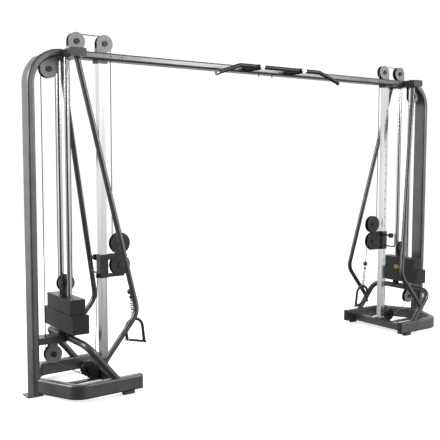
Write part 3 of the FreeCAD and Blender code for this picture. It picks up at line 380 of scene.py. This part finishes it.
def hose_loop(side, grip_at, across, up, rise):
    """Rubber hose from one end of the bar, through the ring, to the other end."""
    low_leg = -rise - HOSE * HOSE_END
    high_leg = rise - HOSE * HOSE_END
    path = []
    for i in range(LEG_STEPS + 1):
        at = low_leg + (LEG - low_leg) * i / LEG_STEPS
        path.append(grip_at - across * HOOP + up * at)
    for i in range(1, BEND_STEPS):
        a = math.pi * i / BEND_STEPS
        path.append(grip_at + up * (LEG + HOOP * math.sin(a)) - across * (HOOP * math.cos(a)))
    for i in range(LEG_STEPS + 1):
        at = LEG + (high_leg - LEG) * i / LEG_STEPS
        path.append(grip_at + across * HOOP + up * at)
    radii = [hose_radius(i, len(path)) for i in range(len(path))]
    loop = tube(side + "_hose_loop", path, across.cross(up), radii, hose, side + "_handle")
    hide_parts(side + "_handle_strap")


def grip_rod(side, grip_at, along, half):
    """Steel bar through the hose's ends, with a washer and a bolt head outside each."""
    end = [(half + HOSE + past, radius) for past, radius in HEAD]
    profile = [(-at, radius) for at, radius in reversed(end)] + end
    lathe(side + "_grip_rod", profile, grip_at, along, steel, side + "_handle")


def ribbed_grip(side, grip_at, along, reach):
    """Ribbed rubber grip that turns on the bar."""
    face, chamfer = [GRIP * share for share in GRIP_ENDS]
    profile = [(-reach, face), (-reach, chamfer), (-reach + GROOVE_HALF, GRIP)]
    for i in range(GROOVES):
        at = -reach + FIRST_GROOVE + (2 * reach - 2 * FIRST_GROOVE) * i / (GROOVES - 1)
        profile += [(at - GROOVE_HALF, GRIP), (at - FLOOR_HALF, GRIP * GROOVE_FLOOR),
                    (at + FLOOR_HALF, GRIP * GROOVE_FLOOR), (at + GROOVE_HALF, GRIP)]
    profile += [(reach - GROOVE_HALF, GRIP), (reach, chamfer), (reach, face)]
    grip = lathe(side + "_ribbed_grip", profile, grip_at, along, foam, side + "_grip")
    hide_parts(side + "_handle_grip")


for side in SIDES:
    # The bar leans, so the legs of the hoop end at different heights.
    grip_at = Vector(joints[side + "_grip_spin"]["pos_m"])
    along = Vector(joints[side + "_grip_spin"]["axis"]).normalized()
    up = (Vector(joints[side + "_handle_swing"]["pos_m"]) - grip_at).normalized()
    if along.dot(up) < 0:
        along = -along
    across = (along - up * along.dot(up)).normalized()
    level = along.dot(across)
    half = HOOP / level
    hose_loop(side, grip_at, across, up, HOOP * along.dot(up) / level)
    grip_rod(side, grip_at, along, half)
    ribbed_grip(side, grip_at, along, half - HOSE / level - GRIP * GRIP_GAP)


# ---------------------------------------------------------------- arm sleeves

ARM_X = 0.210              # the two arms' distance from the middle
ARM = 0.019                # radius of an arm
SLEEVE_START = 0.014       # from the beam's face, where the arms end, to the sleeve
SLEEVE_LONG = 0.140
SLEEVE_EDGE, SLEEVE_RIDGE, SLEEVE_GROOVE = 0.0218, 0.0222, 0.0212      # radii
SLEEVE_GROOVES = 30
FIRST_SLEEVE_GROOVE = 0.006
SLEEVE_GROOVE_HALF = 0.0016
CHAMFER = 0.001

arm_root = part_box("pull_up_bar")[1].y
arm_high = sum(corner.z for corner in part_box("crossbeam")) / 2

# Ribbed rubber sleeves on the pull-up bar's arms.
profile = [(0.0, ARM), (CHAMFER, SLEEVE_EDGE)]
grooved = SLEEVE_LONG - 2 * FIRST_SLEEVE_GROOVE
for i in range(SLEEVE_GROOVES):
    at = FIRST_SLEEVE_GROOVE + grooved * i / (SLEEVE_GROOVES - 1)
    profile += [(at - SLEEVE_GROOVE_HALF, SLEEVE_RIDGE), (at, SLEEVE_GROOVE),
                (at + SLEEVE_GROOVE_HALF, SLEEVE_RIDGE)]
profile += [(SLEEVE_LONG - CHAMFER, SLEEVE_EDGE), (SLEEVE_LONG, ARM)]
for turn in (-1, 1):
    lathe("arm_sleeve_%d" % (turn + 1), profile,
          (turn * ARM_X, arm_root - SLEEVE_START, arm_high), (0, -1, 0), foam, "frame")


# ---------------------------------------------------------------- floor and room

FLOOR_HALF = 60
FLOOR_GLOW = 0.55          # keeps the floor pale far from the lamps
BACKDROP = 1.05
DARK_CORNER = (-0.63, -0.78, 0.0)
RING_LIGHT, CORNER_LIGHT = 1.15, 0.05
UPPER_LIGHT, LOWER_LIGHT = 0.35, 0.12

mesh = bpy.data.meshes.new("floor")
bm = bmesh.new()
bmesh.ops.create_grid(bm, x_segments=1, y_segments=1, size=FLOOR_HALF)
bm.to_mesh(mesh)
bm.free()
floor = bpy.data.objects.new("floor", mesh)
bpy.context.scene.collection.objects.link(floor)
floor_mat = material("pale_floor", (0.94, 0.94, 0.94), rough=0.9, patch=0.5, grain=20,
                     light=(0.97, 0.97, 0.97), bump=0.0, spread=0.02)
glow = floor_mat.node_tree.nodes["Principled BSDF"]
glow.inputs["Emission Color"].default_value = (1, 1, 1, 1)
glow.inputs["Emission Strength"].default_value = FLOOR_GLOW
# The floor shows in the picture but lights and mirrors in nothing.
floor.visible_diffuse = False
floor.visible_glossy = False
floor.data.materials.append(floor_mat)

world = bpy.data.worlds.new("studio")
bpy.context.scene.world = world
world.use_nodes = True
tree = world.node_tree
sky = tree.nodes["Background"]
sky.inputs["Color"].default_value = (1, 1, 1, 1)

# Soft light all round from a pale room, dim above, dark below and dark in one corner of it.
direction = add_node(tree, "ShaderNodeTexCoord").outputs["Generated"]
split = add_node(tree, "ShaderNodeSeparateXYZ")
tree.links.new(direction, split.inputs["Vector"])
corner = dot(tree, direction, DARK_CORNER)
ring = remap(tree, corner, 0.60, 0.93, RING_LIGHT, CORNER_LIGHT, "SMOOTHSTEP")
upper = remap(tree, split.outputs["Z"], 0.25, 0.60, 1.0, UPPER_LIGHT, "SMOOTHSTEP")
lower = remap(tree, split.outputs["Z"], -0.35, -0.05, LOWER_LIGHT, 1.0, "SMOOTHSTEP")
room = maths(tree, "MULTIPLY", maths(tree, "MULTIPLY", ring, upper), lower)

# The camera sees a plain white backdrop in place of the room.
seen = add_node(tree, "ShaderNodeLightPath")
strength = add_node(tree, "ShaderNodeMix", data_type="FLOAT")
tree.links.new(seen.outputs["Is Camera Ray"], strength.inputs[0])
tree.links.new(room, strength.inputs[2])
strength.inputs[3].default_value = BACKDROP
tree.links.new(strength.outputs[0], sky.inputs["Strength"])
bpy.context.scene.view_settings.view_transform = "Standard"


# ---------------------------------------------------------------- lamps and camera

def lamp(name, at, aim, size, power):
    """A rectangular lamp of that size and power in watts, turned towards the aim."""
    data = bpy.data.lights.new(name, "AREA")
    data.shape = "RECTANGLE"
    data.size, data.size_y = size
    data.energy = power
    obj = bpy.data.objects.new(name, data)
    bpy.context.scene.collection.objects.link(obj)
    obj.location = at
    obj.rotation_euler = (Vector(aim) - Vector(at)).to_track_quat("-Z", "Y").to_euler()


lamp("key", (-6.5, 0.5, 4.0), (-1.0, 0, 1.5), (3.0, 3.0), 300)
lamp("front", (4.0, -6.0, 4.0), (0, 0, 1.5), (3.0, 3.0), 260)
lamp("rim", (1.5, 5.5, 5.0), (0, 0, 1.2), (4.0, 2.0), 200)

# Place and turn of the camera, in degrees, as fitted to the machine's level and upright edges.
CAMERA_AT = (-3.713, -4.595, 1.586)
PITCH_DOWN, ROLL, HEADING = 4.873, -0.109, -35.62
LENS_MM = 59.57

camera = bpy.data.objects.new("camera", bpy.data.cameras.new("camera"))
bpy.context.scene.collection.objects.link(camera)
bpy.context.scene.camera = camera
camera.location = CAMERA_AT
camera.rotation_euler = [math.radians(angle) for angle in (90 - PITCH_DOWN, ROLL, HEADING)]
camera.data.lens = LENS_MM
camera.data.clip_start = 0.05
camera.data.clip_end = 200

bpy.context.view_layer.update()
